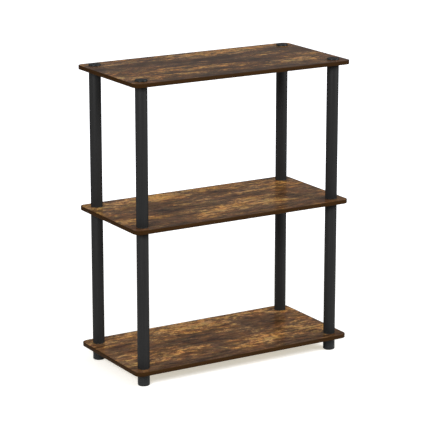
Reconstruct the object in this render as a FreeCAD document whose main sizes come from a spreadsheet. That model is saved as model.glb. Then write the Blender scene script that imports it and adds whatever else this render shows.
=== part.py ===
"""Three-shelf unit: boards with sunk plastic edging on screw-together tube posts.

Frame: +X along the boards' length, +Y to the rear, +Z up. The origin is on the floor under the
middle of the unit. Sizes are in millimetres. At every corner a foot, a lower tube, an upper tube and
a cap stand on one axis. Each tube has a stud plug pressed into its bottom end and a socket insert
pressed into its top end, and every stud passes down through a board into the socket below it.
"""

import FreeCAD, Part
import math
import os

import Sketcher

from FreeCAD import Placement, Rotation, Vector

FOLDER = "parts"

# Driving sizes: alias, value, meaning.
SIZES = (
    ("board_length", "599.4", "length of a board over its edging"),
    ("board_depth", "294.6", "depth of a board over its edging"),
    ("board_thickness", "9.5", "thickness of a board"),
    ("board_corner_radius", "18", "radius of a board's corners in plan, over the edging"),
    ("shelf_pitch", "347.5", "height from one board's top to the next"),
    ("foot_height", "33", "height of a foot under the bottom board"),
    ("post_inset", "33.5", "distance from a board's edge to a post's axis"),
    ("stud_hole_clearance", "0.6", "gap all round a stud in a board's hole"),
    ("edging_thickness", "2", "how far the edging stands out from the board's core"),
    ("edging_bevel", "0.8", "bevel along the edging's upper and lower outer edges"),
    ("edging_fit", "0.1", "gap between the edging's back and the board's core"),
    ("edging_seam", "0.4", "gap where the two ends of an edging meet at the rear"),
    ("tongue_length", "6", "length of the edging's tongue"),
    ("tongue_thickness", "1.4", "thickness of the edging's tongue"),
    ("groove_side_clearance", "0.1", "gap between the tongue and the groove's side"),
    ("groove_end_clearance", "0.6", "gap between the tongue's end and the groove's bottom"),
    ("tube_diameter", "29.2", "outer diameter of a tube"),
    ("tube_wall", "1.6", "wall of a tube"),
    ("stud_diameter", "12", "diameter of a stud"),
    ("stud_engagement", "14", "length of a stud inside its socket"),
    ("thread_clearance", "0.15", "gap all round a stud in its socket"),
    ("socket_end_clearance", "1.5", "space beyond a stud's end in its socket"),
    ("socket_wall", "2", "wall of the boss round a socket"),
    ("socket_floor", "2.4", "thickness of a socket's closed end"),
    ("collar_thickness", "1.8", "thickness of the collar that covers a tube's end"),
    ("collar_setback", "0.2", "how far a collar lies inside the tube's outside"),
    ("fin_length", "20", "length of an insert's fins inside its tube"),
    ("fin_thickness", "2", "thickness of a fin"),
    ("fin_lead", "2", "length of the taper at a fin's end"),
    ("fin_taper", "0.8", "how much narrower a fin is at its end, on each side"),
    ("press_clearance", "0.05", "gap between a fin's outer corners and the tube's bore"),
    ("web_thickness", "1.6", "thickness of a web between a foot's boss and its shell"),
    ("web_drop", "1", "how far a foot's webs stop short of its open end"),
    ("foot_wall", "2.2", "wall of a foot's shell"),
    ("foot_sole_thickness", "3.5", "thickness of a foot's sole"),
    ("foot_sole_bevel", "2", "bevel along a foot's bottom edge"),
    ("cap_diameter", "30", "diameter of a cap"),
    ("cap_height", "3.5", "height of a cap"),
    ("cap_edge_chamfer", "0.9", "chamfer round a cap's upper edge"),
)

FIN_PLATES = 2
FOOT_WEBS = 4
FULL_TURN = "360"
HALF_TURN = "180"

# Sizes that follow from the driving ones, written as expressions on the sheet.
CORE_LENGTH = "(Sizes.board_length - 2 * Sizes.edging_thickness)"
CORE_DEPTH = "(Sizes.board_depth - 2 * Sizes.edging_thickness)"
CORE_CORNER_RADIUS = "(Sizes.board_corner_radius - Sizes.edging_thickness)"
GROOVE_WIDTH = "(Sizes.tongue_thickness + 2 * Sizes.groove_side_clearance)"
GROOVE_DEPTH = "(Sizes.tongue_length + Sizes.edging_fit + Sizes.groove_end_clearance)"
POST_X = "(Sizes.board_length / 2 - Sizes.post_inset)"
POST_Y = "(Sizes.board_depth / 2 - Sizes.post_inset)"
TUBE_RADIUS = "(Sizes.tube_diameter / 2)"
TUBE_BORE_RADIUS = "(Sizes.tube_diameter / 2 - Sizes.tube_wall)"
TUBE_LENGTH = "(Sizes.shelf_pitch - Sizes.board_thickness - 2 * Sizes.collar_thickness)"
STUD_RADIUS = "(Sizes.stud_diameter / 2)"
STUD_LENGTH = "(Sizes.board_thickness + Sizes.stud_engagement)"
STUD_HOLE_RADIUS = "(Sizes.stud_diameter / 2 + Sizes.stud_hole_clearance)"
SOCKET_RADIUS = "(Sizes.stud_diameter / 2 + Sizes.thread_clearance)"
SOCKET_DEPTH = "(Sizes.stud_engagement + Sizes.socket_end_clearance)"
BOSS_RADIUS = f"({SOCKET_RADIUS} + Sizes.socket_wall)"
COLLAR_RADIUS = "(Sizes.tube_diameter / 2 - Sizes.collar_setback)"
PRESS_RADIUS = f"({TUBE_BORE_RADIUS} - Sizes.press_clearance)"
FIN_REACH = f"sqrt({PRESS_RADIUS} ^ 2 - (Sizes.fin_thickness / 2) ^ 2)"
CAP_RADIUS = "(Sizes.cap_diameter / 2)"

# Heights above the floor.
BOTTOM_BOARD_TOP = "(Sizes.foot_height + Sizes.board_thickness)"
MIDDLE_BOARD_TOP = f"({BOTTOM_BOARD_TOP} + Sizes.shelf_pitch)"
TOP_BOARD_TOP = f"({BOTTOM_BOARD_TOP} + 2 * Sizes.shelf_pitch)"

BOARDS = (
    ("bottom", BOTTOM_BOARD_TOP),
    ("middle", MIDDLE_BOARD_TOP),
    ("top", TOP_BOARD_TOP),
)
TUBE_STAGES = (
    ("lower", BOTTOM_BOARD_TOP, MIDDLE_BOARD_TOP),
    ("upper", MIDDLE_BOARD_TOP, TOP_BOARD_TOP),
)
CORNERS = (
    ("front_left", f"-{POST_X}", f"-{POST_Y}"),
    ("front_right", POST_X, f"-{POST_Y}"),
    ("rear_left", f"-{POST_X}", POST_Y),
    ("rear_right", POST_X, POST_Y),
)

doc = FreeCAD.newDocument("ShelvingUnit")


def make_sheet():
    """Write the driving sizes into a spreadsheet, one alias a row."""
    sizes = doc.addObject("Spreadsheet::Sheet", "Sizes")
    for row, (alias, value, meaning) in enumerate(SIZES, start=1):
        sizes.set(f"A{row}", meaning)
        sizes.set(f"B{row}", value)
        sizes.setAlias(f"B{row}", alias)
    doc.recompute()
    return sizes


sheet = make_sheet()


def value_of(expression):
    """Work out an expression on the sheet as a plain number of millimetres."""
    return float(sheet.evalExpression(expression))


def new_body(label):
    """Start the body of one sub-part."""
    body = doc.addObject("PartDesign::Body", label)
    body.Label = label
    return body


def new_sketch(body, name, plane, offset="0"):
    """Attach an empty sketch to one of the body's own origin planes.

    offset is an expression for the distance along the plane's normal.
    """
    sketch = body.newObject("Sketcher::SketchObject", f"{body.Name}_{name}")
    support = next(item for item in body.Origin.OriginFeatures if item.Role == plane)
    sketch.AttachmentSupport = [(support, "")]
    sketch.MapMode = "FlatFace"
    if offset != "0":
        sketch.setExpression("AttachmentOffset.Base.z", offset)
    return sketch


def pin(sketch, geometry, end, axis, expression):
    """Hold one coordinate of a point at an expression, measured from the sketch's origin."""
    if expression == "0":
        origin_axis = -2 if axis == "X" else -1
        sketch.addConstraint(Sketcher.Constraint("PointOnObject", geometry, end, origin_axis))
        return
    constraint = Sketcher.Constraint(f"Distance{axis}", -1, 1, geometry, end, value_of(expression))
    index = sketch.addConstraint(constraint)
    sketch.setExpression(f"Constraints[{index}]", expression)


def draw_outline(sketch, corners, closed=True):
    """Draw a run of straight lines through corners, some of them rounded.

    A corner is (x, y) or (x, y, radius), all expressions. The lines at a rounded corner run along
    the sketch's axes. Sharp corners are pinned by both coordinates. At a rounded corner each line
    is pinned by the coordinate that stays the same along it, and the arc is tangent to both.
    """
    count = len(corners)
    places = [Vector(value_of(corner[0]), value_of(corner[1]), 0) for corner in corners]
    radii = [value_of(corner[2]) if len(corner) > 2 else 0.0 for corner in corners]
    legs = count if closed else count - 1
    lines = []
    for leg in range(legs):
        start, end = places[leg], places[(leg + 1) % count]
        along = (end - start).normalize()
        near = start + along * radii[leg]
        far = end - along * radii[(leg + 1) % count]
        lines.append(sketch.addGeometry(Part.LineSegment(near, far), False))
    joints = range(count) if closed else range(1, count - 1)
    for joint in joints:
        before, after = lines[joint - 1], lines[joint % legs]
        if radii[joint]:
            round_corner(sketch, before, after, places, joint, corners[joint], radii[joint])
        else:
            sketch.addConstraint(Sketcher.Constraint("Coincident", before, 2, after, 1))
            pin(sketch, after, 1, "X", corners[joint][0])
            pin(sketch, after, 1, "Y", corners[joint][1])
    if not closed:
        for line, end, corner in ((lines[0], 1, corners[0]), (lines[-1], 2, corners[-1])):
            pin(sketch, line, end, "X", corner[0])
            pin(sketch, line, end, "Y", corner[1])


def round_corner(sketch, before, after, places, joint, corner, radius):
    """Join two lines along the axes by a quarter arc that is tangent to both."""
    place = places[joint]
    arriving = (place - places[joint - 1]).normalize()
    leaving = (places[(joint + 1) % len(places)] - place).normalize()
    centre = place - arriving * radius + leaving * radius
    turns_left = arriving.x * leaving.y - arriving.y * leaving.x > 0
    first, last = (-leaving, arriving) if turns_left else (arriving, -leaving)
    start_angle = math.atan2(first.y, first.x)
    end_angle = math.atan2(last.y, last.x)
    circle = Part.Circle(centre, Vector(0, 0, 1), radius)
    arc = sketch.addGeometry(Part.ArcOfCircle(circle, start_angle, end_angle), False)
    arc_start, arc_end = (1, 2) if turns_left else (2, 1)
    sketch.addConstraint(Sketcher.Constraint("Tangent", before, 2, arc, arc_start))
    sketch.addConstraint(Sketcher.Constraint("Tangent", arc, arc_end, after, 1))
    index = sketch.addConstraint(Sketcher.Constraint("Radius", arc, radius))
    sketch.setExpression(f"Constraints[{index}]", corner[2])
    for line, end, direction in ((before, 2, arriving), (after, 1, leaving)):
        if abs(direction.x) > abs(direction.y):
            pin(sketch, line, end, "Y", corner[1])
        else:
            pin(sketch, line, end, "X", corner[0])


def draw_rectangle(sketch, length, depth, radius):
    """Draw a rounded rectangle round the sketch's origin."""
    corners = [
        (f"{side_x}{length} / 2", f"{side_y}{depth} / 2", radius)
        for side_x, side_y in (("-", "-"), ("", "-"), ("", ""), ("-", ""))
    ]
    draw_outline(sketch, corners)


def draw_circle(sketch, x, y, radius):
    """Draw a circle at a place given by two expressions."""
    centre = Vector(value_of(x), value_of(y), 0)
    shape = Part.Circle(centre, Vector(0, 0, 1), value_of(radius))
    circle = sketch.addGeometry(shape, False)
    pin(sketch, circle, 3, "X", x)
    pin(sketch, circle, 3, "Y", y)
    index = sketch.addConstraint(Sketcher.Constraint("Radius", circle, shape.Radius))
    sketch.setExpression(f"Constraints[{index}]", radius)


def pad(body, name, sketch, length, both_sides=False):
    """Pad a sketch along its normal, or half the length to each side of it."""
    feature = body.newObject("PartDesign::Pad", f"{body.Name}_{name}")
    feature.Profile = sketch
    feature.SideType = "Symmetric" if both_sides else "One side"
    feature.setExpression("Length", length)
    return feature


def pocket(body, name, sketch, depth):
    """Cut a sketch upwards through the body, along the sketch's normal."""
    feature = body.newObject("PartDesign::Pocket", f"{body.Name}_{name}")
    feature.Profile = sketch
    feature.Reversed = True
    feature.setExpression("Length", depth)
    return feature


def turn(body, name, corners):
    """Turn a half section, given as (radius, height) corners, round the body's Z axis."""
    sketch = new_sketch(body, f"{name}_section", "XZ_Plane")
    draw_outline(sketch, corners)
    feature = body.newObject("PartDesign::Revolution", f"{body.Name}_{name}")
    feature.Profile = sketch
    feature.ReferenceAxis = (sketch, ["V_Axis"])
    feature.setExpression("Angle", FULL_TURN)
    return feature


def repeat_round(body, name, feature, copies, angle):
    """Repeat a feature round the body's Z axis, in even steps over an angle in degrees.

    The last copy stops one step short of the angle, so copies that cross the axis need half a
    turn, and copies on one side of it a full turn.
    """
    pattern = body.newObject("PartDesign::PolarPattern", f"{body.Name}_{name}")
    pattern.Originals = [feature]
    axis = next(item for item in body.Origin.OriginFeatures if item.Role == "Z_Axis")
    pattern.Axis = (axis, [""])
    pattern.Mode = "Spacing"
    pattern.setExpression("Offset", f"{angle} / {copies}")
    pattern.Occurrences = copies
    body.Tip = pattern
    return pattern


def place(body, x, y, z):
    """Set the body's place by three expressions on the sheet."""
    body.Placement = Placement(Vector(value_of(x), value_of(y), value_of(z)), Rotation())
    body.setExpression("Placement.Base.x", x)
    body.setExpression("Placement.Base.y", y)
    body.setExpression("Placement.Base.z", z)


def make_board(level, top):
    """Make a board's core, with its four stud holes and the groove round its edge.

    The body's origin is the middle of the board's underside.
    """
    body = new_body(f"{level}_board")
    outline = new_sketch(body, "outline", "XY_Plane")
    draw_rectangle(outline, CORE_LENGTH, CORE_DEPTH, CORE_CORNER_RADIUS)
    pad(body, "panel", outline, "Sizes.board_thickness")

    holes = new_sketch(body, "hole_plan", "XY_Plane")
    for _, x, y in CORNERS:
        draw_circle(holes, x, y, STUD_HOLE_RADIUS)
    pocket(body, "stud_holes", holes, "Sizes.board_thickness")

    groove_base = f"(Sizes.board_thickness - {GROOVE_WIDTH}) / 2"
    ring = new_sketch(body, "groove_plan", "XY_Plane", groove_base)
    draw_rectangle(ring, "Sizes.board_length", "Sizes.board_depth", "Sizes.board_corner_radius")
    inner_length = f"({CORE_LENGTH} - 2 * {GROOVE_DEPTH})"
    inner_depth = f"({CORE_DEPTH} - 2 * {GROOVE_DEPTH})"
    draw_rectangle(ring, inner_length, inner_depth, f"({CORE_CORNER_RADIUS} - {GROOVE_DEPTH})")
    pocket(body, "edge_groove", ring, GROOVE_WIDTH)
    place(body, "0", "0", f"{top} - Sizes.board_thickness")
    return body


def edging_section():
    """List the corners of an edging's section, outwards and upwards from the board's underside.

    The face is flat between two bevels. The back lies against the core, and the tongue points
    inwards from the middle of it.
    """
    back = f"({CORE_DEPTH} / 2 + Sizes.edging_fit)"
    face = "(Sizes.board_depth / 2)"
    shoulder = f"({face} - Sizes.edging_bevel)"
    tongue_end = f"({back} - Sizes.tongue_length)"
    low = "((Sizes.board_thickness - Sizes.tongue_thickness) / 2)"
    high = "((Sizes.board_thickness + Sizes.tongue_thickness) / 2)"
    return (
        (back, "0"),
        (shoulder, "0"),
        (face, "Sizes.edging_bevel"),
        (face, "(Sizes.board_thickness - Sizes.edging_bevel)"),
        (shoulder, "Sizes.board_thickness"),
        (back, "Sizes.board_thickness"),
        (back, high),
        (tongue_end, high),
        (tongue_end, low),
        (back, low),
    )


def make_edging(level, top):
    """Make one edging: a strip swept once round the board, from one side of its seam to the other."""
    body = new_body(f"{level}_edging")
    side = "(Sizes.board_length / 2)"
    rear = "(Sizes.board_depth / 2)"
    radius = "Sizes.board_corner_radius"
    path = new_sketch(body, "path", "XY_Plane")
    draw_outline(
        path,
        (
            ("(Sizes.edging_seam / 2)", rear),
            (side, rear, radius),
            (side, f"-{rear}", radius),
            (f"-{side}", f"-{rear}", radius),
            (f"-{side}", rear, radius),
            ("-(Sizes.edging_seam / 2)", rear),
        ),
        closed=False,
    )
    section = new_sketch(body, "section", "YZ_Plane", "Sizes.edging_seam / 2")
    draw_outline(section, edging_section())
    strip = body.newObject("PartDesign::AdditivePipe", f"{body.Name}_strip")
    strip.Profile = section
    strip.Spine = path
    place(body, "0", "0", f"{top} - Sizes.board_thickness")
    return body


def make_tube(name, x, y, board_top):
    """Make a plain tube that stands between two collars."""
    body = new_body(name)
    ring = new_sketch(body, "ring", "XY_Plane")
    draw_circle(ring, "0", "0", TUBE_RADIUS)
    draw_circle(ring, "0", "0", TUBE_BORE_RADIUS)
    pad(body, "wall", ring, TUBE_LENGTH)
    place(body, x, y, f"{board_top} + Sizes.collar_thickness")
    return body


def add_fins(body, way):
    """Add the crossed plates that grip the tube's bore, from the collar's inner face inwards.

    way is the sign of the height at which they end. They taper at the end that goes in first.
    """
    base = f"{way}Sizes.collar_thickness"
    shoulder = f"{way}(Sizes.collar_thickness + Sizes.fin_length - Sizes.fin_lead)"
    end = f"{way}(Sizes.collar_thickness + Sizes.fin_length)"
    tip = f"({FIN_REACH} - Sizes.fin_taper)"
    face = new_sketch(body, "fin_face", "XZ_Plane")
    draw_outline(
        face,
        (
            (f"-{FIN_REACH}", base),
            (FIN_REACH, base),
            (FIN_REACH, shoulder),
            (tip, end),
            (f"-{tip}", end),
            (f"-{FIN_REACH}", shoulder),
        ),
    )
    plate = pad(body, "fin_plate", face, "Sizes.fin_thickness", both_sides=True)
    repeat_round(body, "fins", plate, FIN_PLATES, HALF_TURN)


def bore_socket(body, mouth):
    """Cut a stud's socket downwards from the height of its mouth."""
    plan = new_sketch(body, "socket_plan", "XY_Plane", f"({mouth} - {SOCKET_DEPTH})")
    draw_circle(plan, "0", "0", SOCKET_RADIUS)
    pocket(body, "socket", plan, SOCKET_DEPTH)


def make_stud_plug(name, x, y, board_top):
    """Make the plug in a tube's bottom end, with the stud that goes down through the board.

    The body's origin is the middle of the collar's underside, on the board's top.
    """
    body = new_body(name)
    turn(
        body,
        "moulding",
        (
            ("0", f"-{STUD_LENGTH}"),
            (STUD_RADIUS, f"-{STUD_LENGTH}"),
            (STUD_RADIUS, "0"),
            (COLLAR_RADIUS, "0"),
            (COLLAR_RADIUS, "Sizes.collar_thickness"),
            ("0", "Sizes.collar_thickness"),
        ),
    )
    add_fins(body, "")
    place(body, x, y, board_top)
    return body


def make_socket_insert(name, x, y, board_top):
    """Make the socket in a tube's top end: a collar, a boss with a blind bore, and fins round it.

    The body's origin is the middle of the collar's upper face, under the board.
    """
    body = new_body(name)
    boss_depth = f"({SOCKET_DEPTH} + Sizes.socket_floor)"
    turn(
        body,
        "moulding",
        (
            ("0", "0"),
            (COLLAR_RADIUS, "0"),
            (COLLAR_RADIUS, "-Sizes.collar_thickness"),
            (BOSS_RADIUS, "-Sizes.collar_thickness"),
            (BOSS_RADIUS, f"-{boss_depth}"),
            ("0", f"-{boss_depth}"),
        ),
    )
    add_fins(body, "-")
    bore_socket(body, "0")
    place(body, x, y, f"{board_top} - Sizes.board_thickness")
    return body


def make_foot(name, x, y):
    """Make a foot: a cup with a bevelled sole, a socket boss in its middle and webs between.

    The body's origin is the middle of the sole.
    """
    body = new_body(name)
    shell_inner = f"({TUBE_RADIUS} - Sizes.foot_wall)"
    turn(
        body,
        "moulding",
        (
            ("0", "0"),
            (f"({TUBE_RADIUS} - Sizes.foot_sole_bevel)", "0"),
            (TUBE_RADIUS, "Sizes.foot_sole_bevel"),
            (TUBE_RADIUS, "Sizes.foot_height"),
            (shell_inner, "Sizes.foot_height"),
            (shell_inner, "Sizes.foot_sole_thickness"),
            (BOSS_RADIUS, "Sizes.foot_sole_thickness"),
            (BOSS_RADIUS, "Sizes.foot_height"),
            ("0", "Sizes.foot_height"),
        ),
    )
    web_face = new_sketch(body, "web_face", "XZ_Plane")
    web_start = f"({SOCKET_RADIUS} + Sizes.socket_wall / 2)"
    web_end = f"({TUBE_RADIUS} - Sizes.foot_wall / 2)"
    web_top = "(Sizes.foot_height - Sizes.web_drop)"
    draw_outline(
        web_face,
        (
            (web_start, "Sizes.foot_sole_thickness / 2"),
            (web_end, "Sizes.foot_sole_thickness / 2"),
            (web_end, web_top),
            (web_start, web_top),
        ),
    )
    web = pad(body, "web", web_face, "Sizes.web_thickness", both_sides=True)
    repeat_round(body, "webs", web, FOOT_WEBS, FULL_TURN)
    bore_socket(body, "Sizes.foot_height")
    place(body, x, y, "0")
    return body


def make_cap(name, x, y, board_top):
    """Make a low round cap with a stud under it.

    The body's origin is the middle of the cap's underside, on the top board.
    """
    body = new_body(name)
    turn(
        body,
        "moulding",
        (
            ("0", f"-{STUD_LENGTH}"),
            (STUD_RADIUS, f"-{STUD_LENGTH}"),
            (STUD_RADIUS, "0"),
            (CAP_RADIUS, "0"),
            (CAP_RADIUS, "(Sizes.cap_height - Sizes.cap_edge_chamfer)"),
            (f"({CAP_RADIUS} - Sizes.cap_edge_chamfer)", "Sizes.cap_height"),
            ("0", "Sizes.cap_height"),
        ),
    )
    place(body, x, y, board_top)
    return body


def make_all():
    """Make every sub-part of the unit, from the floor up."""
    bodies = []
    for level, top in BOARDS:
        bodies.append(make_board(level, top))
        bodies.append(make_edging(level, top))
    for corner, x, y in CORNERS:
        bodies.append(make_foot(f"foot_{corner}", x, y))
        for stage, low_top, high_top in TUBE_STAGES:
            bodies.append(make_stud_plug(f"{stage}_stud_plug_{corner}", x, y, low_top))
            bodies.append(make_tube(f"{stage}_tube_{corner}", x, y, low_top))
            bodies.append(make_socket_insert(f"{stage}_socket_{corner}", x, y, high_top))
        bodies.append(make_cap(f"top_cap_{corner}", x, y, TOP_BOARD_TOP))
    doc.recompute()
    return bodies


def check(bodies):
    """Stop if an object failed, or if a sub-part is empty, invalid or not one solid."""
    for item in doc.Objects:
        if "Invalid" in item.State or "Error" in item.State:
            raise RuntimeError(f"{item.Label} failed: {item.State}")
    for body in bodies:
        shape = body.Shape
        if shape.isNull() or not shape.isValid() or len(shape.Solids) != 1:
            raise RuntimeError(f"{body.Label} has no single valid solid")


def write(bodies):
    """Write each sub-part's solid to a file of its own."""
    os.makedirs(FOLDER, exist_ok=True)
    for body in bodies:
        body.Shape.exportStep(os.path.join(FOLDER, f"{body.Label}.step"))


parts = make_all()
check(parts)
write(parts)
for part in parts:
    print(f"{part.Label}: {part.Shape.Volume / 1000:.2f} cubic centimetres")
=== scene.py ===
"""Finishes and fine shapes of a three-shelf unit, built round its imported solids.

The unit has three boards with a rustic wood print and a flat brown edging. They are held apart by
black tube posts, which screw together through the boards. Everything is in metres, in the frame of
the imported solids: +X along the boards, +Y to the rear, +Z up, with the floor at zero.
"""

import logging
import math
from dataclasses import dataclass, field
from enum import Enum
from typing import Iterable, Sequence

import bmesh
import bpy
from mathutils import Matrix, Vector


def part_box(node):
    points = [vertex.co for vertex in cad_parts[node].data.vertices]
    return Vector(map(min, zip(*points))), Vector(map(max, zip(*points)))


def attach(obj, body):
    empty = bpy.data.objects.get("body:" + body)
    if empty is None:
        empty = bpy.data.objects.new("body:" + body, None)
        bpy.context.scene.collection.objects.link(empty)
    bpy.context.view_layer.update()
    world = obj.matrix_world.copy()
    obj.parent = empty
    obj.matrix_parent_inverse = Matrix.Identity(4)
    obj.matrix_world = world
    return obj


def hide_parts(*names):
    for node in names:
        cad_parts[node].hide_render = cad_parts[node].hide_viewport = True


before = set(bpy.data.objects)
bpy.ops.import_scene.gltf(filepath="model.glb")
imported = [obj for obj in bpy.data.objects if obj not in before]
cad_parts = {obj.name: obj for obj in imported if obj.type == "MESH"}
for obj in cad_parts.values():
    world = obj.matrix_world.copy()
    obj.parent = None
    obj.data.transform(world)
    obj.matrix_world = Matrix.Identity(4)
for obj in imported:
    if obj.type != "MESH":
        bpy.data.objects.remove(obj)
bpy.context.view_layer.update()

log = logging.getLogger("shelving_unit")

Number = float | int
Triple = tuple[float, float, float]

MM = 0.001
ROOT = "root"
PHOTO_WIDTH = 430
WELD_DISTANCE = 0.0005 * MM
CREASE_DEGREES = 35.0
NOISE_MIDDLE = 0.5
WHITE: Triple = (1.0, 1.0, 1.0)

# Where a Mix node that is set to colours has its two inputs and its output.
MIX_LOW = 6
MIX_HIGH = 7
MIX_RESULT = 2


class Level(Enum):
    """The three boards, from the floor up."""

    BOTTOM = "bottom"
    MIDDLE = "middle"
    TOP = "top"


class Stage(Enum):
    """The two runs of tube in a post."""

    LOWER = "lower"
    UPPER = "upper"


class Corner(Enum):
    """The four places where a post stands."""

    FRONT_LEFT = "front_left"
    FRONT_RIGHT = "front_right"
    REAR_LEFT = "rear_left"
    REAR_RIGHT = "rear_right"


def linear(red: int, green: int, blue: int) -> Triple:
    """Turn a screen colour of three bytes into the linear values that shaders take.

    Args:
        red, green, blue: The colour's bytes, 0 to 255.

    Returns:
        Its three linear values, 0 to 1.
    """
    shares = (byte / 255 for byte in (red, green, blue))
    return tuple(s / 12.92 if s <= 0.04045 else ((s + 0.055) / 1.055) ** 2.4 for s in shares)


@dataclass(frozen=True)
class Waves:
    """One layer of smooth noise: its waves in a metre, its octaves and how rough these make it.

    A squeeze over 1 packs the noise along that axis and one under 1 draws it out. The shift moves
    it. Where the layer is used as a mask, the span gives the noise's values between which the mask
    goes from 0 to 1.
    """

    per_metre: float
    octaves: float = 2.0
    rough: float = 0.5
    squeeze: Triple = (1.0, 1.0, 1.0)
    shift: Triple = (0.0, 0.0, 0.0)
    span: tuple[float, float] = (0.0, 1.0)


class Signal:
    """One number that changes over a surface: a shader socket that can be used in sums."""

    def __init__(self, bench: "Bench", socket: bpy.types.NodeSocket) -> None:
        """Hold a socket and the bench that its node stands on."""
        self.bench = bench
        self.socket = socket

    def __add__(self, other: "Signal | Number") -> "Signal":
        """Add a number or another signal."""
        return self.bench.math("ADD", self, other)

    def __radd__(self, other: Number) -> "Signal":
        """Add the signal to a number."""
        return self.bench.math("ADD", other, self)

    def __sub__(self, other: "Signal | Number") -> "Signal":
        """Take a number or another signal away."""
        return self.bench.math("SUBTRACT", self, other)

    def __rsub__(self, other: Number) -> "Signal":
        """Take the signal away from a number."""
        return self.bench.math("SUBTRACT", other, self)

    def __mul__(self, other: "Signal | Number") -> "Signal":
        """Multiply by a number or another signal."""
        return self.bench.math("MULTIPLY", self, other)

    def __rmul__(self, other: Number) -> "Signal":
        """Multiply a number by the signal."""
        return self.bench.math("MULTIPLY", other, self)

    def swing(self) -> "Signal":
        """Return how far noise lies over or under its middle value."""
        return self - NOISE_MIDDLE

    def rise(self, low: float, high: float) -> "Signal":
        """Go smoothly from 0 to 1 between two of the signal's values.

        Args:
            low: The value that gives 0.
            high: The value that gives 1.

        Returns:
            The smoothed signal.
        """
        settings = {"interpolation_type": "SMOOTHSTEP"}
        sockets = {"Value": self, "From Min": low, "From Max": high}
        return self.bench.signal("ShaderNodeMapRange", "Result", settings, sockets)


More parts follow.
